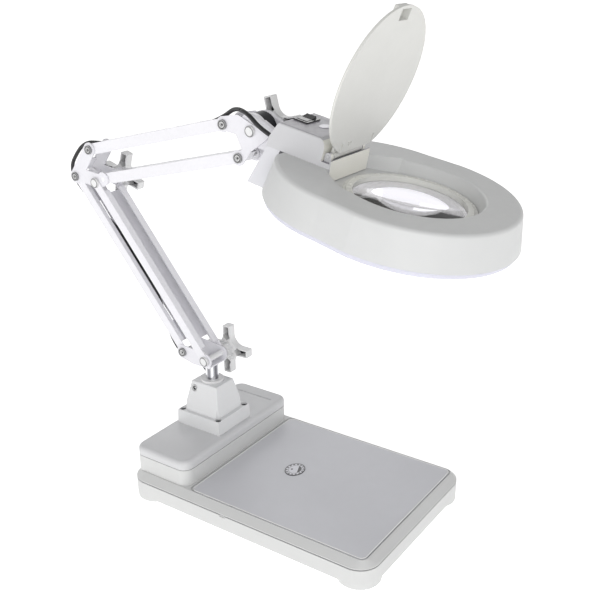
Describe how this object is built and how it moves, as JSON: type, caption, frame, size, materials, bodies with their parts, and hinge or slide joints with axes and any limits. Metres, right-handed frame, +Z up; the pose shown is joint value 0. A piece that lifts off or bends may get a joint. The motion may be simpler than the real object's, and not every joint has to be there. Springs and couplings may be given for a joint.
{
  "type": "magnifying lamp",
  "caption": "Bench magnifying lamp: weighted tray base, swivel post, two parallelogram arms with clamp knobs, round ring-lit magnifier head with flip-up lens cover.",
  "frame": {"origin": "on the table, under the middle of the whole lamp as it stands in its rest pose", "axes": "+Z up; +Y from the work panel towards the post and the elbow; +X to the side of the clamp knobs"},
  "size_m": [0.246, 0.6278, 0.607],
  "materials": {
    "shell": "fine-textured warm grey moulding",
    "panel": "slightly darker textured panel",
    "badge": "plain low badge",
    "rubber_black": "matt",
    "screw_dark": "dark plated",
    "screw_bright": "zinc plated",
    "iron": "as cast, lacquered",
    "laminations": "varnished laminations",
    "chrome": "polished",
    "arm_paint": "white semi-gloss powder coat",
    "bracket_paint": "white powder coat",
    "knob": "light grey moulding",
    "cable": "black sheathed cable",
    "head": "fine-textured warm grey moulding",
    "neck": "fine-textured grey moulding",
    "pale_plastic": "pale moulding",
    "lens_glass": "polished optical glass",
    "tube_glass": "white phosphor-coated glass",
    "diffuser": "translucent opal",
    "friction": "dark fibre disc",
    "black_plastic": "black",
    "clip_steel": "spring steel",
    "cover": "opaque warm grey moulding"
  },
  "bodies": {
    "base": {"base_tray": "shell", "rubber_feet": "rubber_black", "base_screws": "screw_bright", "base_cover": "shell", "work_panel": "panel", "panel_badge": "badge", "rear_box": "shell", "rear_box_lid": "panel", "ballast_weight": "iron", "lamp_choke": "laminations", "cable_inlet": "rubber_black", "pedestal": "shell", "pedestal_screws": "screw_bright", "post_collar": "knob", "lock_screw": "screw_dark"},
    "swivel": {"post": "chrome", "post_bracket": "bracket_paint", "lower_pivot_screw": "screw_dark", "lower_clamp_bolt": "screw_bright", "cable_at_post": "cable"},
    "lower_knob": {"lower_knob": "knob"},
    "lower_rear": {"rear_lower_bar": "arm_paint", "cable_in_lower_bar": "cable", "cable_elbow_start": "cable"},
    "lower_front": {"front_lower_bar": "arm_paint"},
    "elbow": {"elbow_plate_near": "bracket_paint", "elbow_plate_far": "bracket_paint", "elbow_rivet": "screw_bright", "elbow_pivot_screws": "screw_dark", "elbow_clamp_bolt": "screw_bright", "cable_elbow_end": "cable"},
    "elbow_knob": {"elbow_knob": "knob"},
    "upper_top": {"upper_top_bar": "arm_paint", "cable_in_upper_bar": "cable", "cable_head_start": "cable"},
    "upper_bottom": {"upper_bottom_bar": "arm_paint"},
    "head_bracket": {"head_plate_near": "bracket_paint", "head_plate_far": "bracket_paint", "head_pivot_screws": "screw_dark", "tilt_bolt": "screw_bright", "cable_head_end": "cable"},
    "head_knob": {"head_knob": "knob"},
    "head": {"head_housing": "head", "lens_barrel": "head", "magnifying_lens": "lens_glass", "lens_ring": "pale_plastic", "circular_tube": "tube_glass", "tube_connector": "pale_plastic", "tube_clips": "clip_steel", "diffuser": "diffuser", "neck_cover": "neck", "neck_rear_cover": "pale_plastic", "tilt_tongue": "bracket_paint", "friction_disc": "friction", "neck_badge": "badge", "switch_bezel": "black_plastic", "lid_hinge_pin": "screw_bright"},
    "rocker": {"switch_rocker": "black_plastic"},
    "lid": {"lens_cover": "cover"}
  },
  "joints": [
    {"name": "post_swivel", "type": "hinge", "parent": "base", "child": "swivel", "pos_m": [0, 0.08245, 0.14], "axis": [0, 0, 1], "range_deg": [-170, 170]},
    {"name": "lower_arm", "type": "hinge", "parent": "swivel", "child": "lower_rear", "pos_m": [0, 0.11645, 0.1654], "axis": [1, 0, 0], "range_deg": [-15, 50], "deforming": ["cable_at_post"]},
    {"name": "lower_front_arm", "type": "hinge", "parent": "swivel", "child": "lower_front", "pos_m": [0, 0.07895, 0.162], "axis": [1, 0, 0], "range_deg": [-15, 50]},
    {"name": "lower_clamp", "type": "hinge", "parent": "swivel", "child": "lower_knob", "pos_m": [0.034, 0.07895, 0.162], "axis": [1, 0, 0], "continuous": true},
    {"name": "elbow_fold", "type": "hinge", "parent": "lower_rear", "child": "elbow", "pos_m": [0, 0.28799, 0.37648], "axis": [1, 0, 0], "range_deg": [-50, 15], "deforming": ["cable_elbow_start"]},
    {"name": "elbow_clamp", "type": "hinge", "parent": "elbow", "child": "elbow_knob", "pos_m": [0.034, 0.25049, 0.37308], "axis": [1, 0, 0], "continuous": true},
    {"name": "upper_arm", "type": "hinge", "parent": "elbow", "child": "upper_top", "pos_m": [0, 0.25855, 0.4152], "axis": [1, 0, 0], "range_deg": [-45, 30], "deforming": ["cable_elbow_end"]},
    {"name": "upper_lower_arm", "type": "hinge", "parent": "elbow", "child": "upper_bottom", "pos_m": [0, 0.23755, 0.3791], "axis": [1, 0, 0], "range_deg": [-45, 30]},
    {"name": "head_level", "type": "hinge", "parent": "upper_top", "child": "head_bracket", "pos_m": [0, 0.0347, 0.4706], "axis": [1, 0, 0], "range_deg": [-30, 45], "deforming": ["cable_head_start"]},
    {"name": "head_tilt", "type": "hinge", "parent": "head_bracket", "child": "head", "pos_m": [0, -0.00439, 0.46687], "axis": [1, 0, 0], "range_deg": [-55, 30], "deforming": ["cable_head_end"]},
    {"name": "head_clamp", "type": "hinge", "parent": "head_bracket", "child": "head_knob", "pos_m": [0.034, -0.00439, 0.46687], "axis": [1, 0, 0], "continuous": true},
    {"name": "switch_rock", "type": "hinge", "parent": "head", "child": "rocker", "pos_m": [0.004, -0.0661, 0.47973], "axis": [0, 0.9799, 0.1994], "range_deg": [0, 14]},
    {"name": "lens_cover_hinge", "type": "hinge", "parent": "head", "child": "lid", "pos_m": [0, -0.11877, 0.45523], "axis": [1, 0, 0], "range_deg": [-15, 79.5]}
  ],
  "couplings": [
    {"joint": "lower_front_arm", "follows": "lower_arm", "ratio": 1},
    {"joint": "elbow_fold", "follows": "lower_arm", "ratio": -1},
    {"joint": "upper_lower_arm", "follows": "upper_arm", "ratio": 1},
    {"joint": "head_level", "follows": "upper_arm", "ratio": -1}
  ]
}
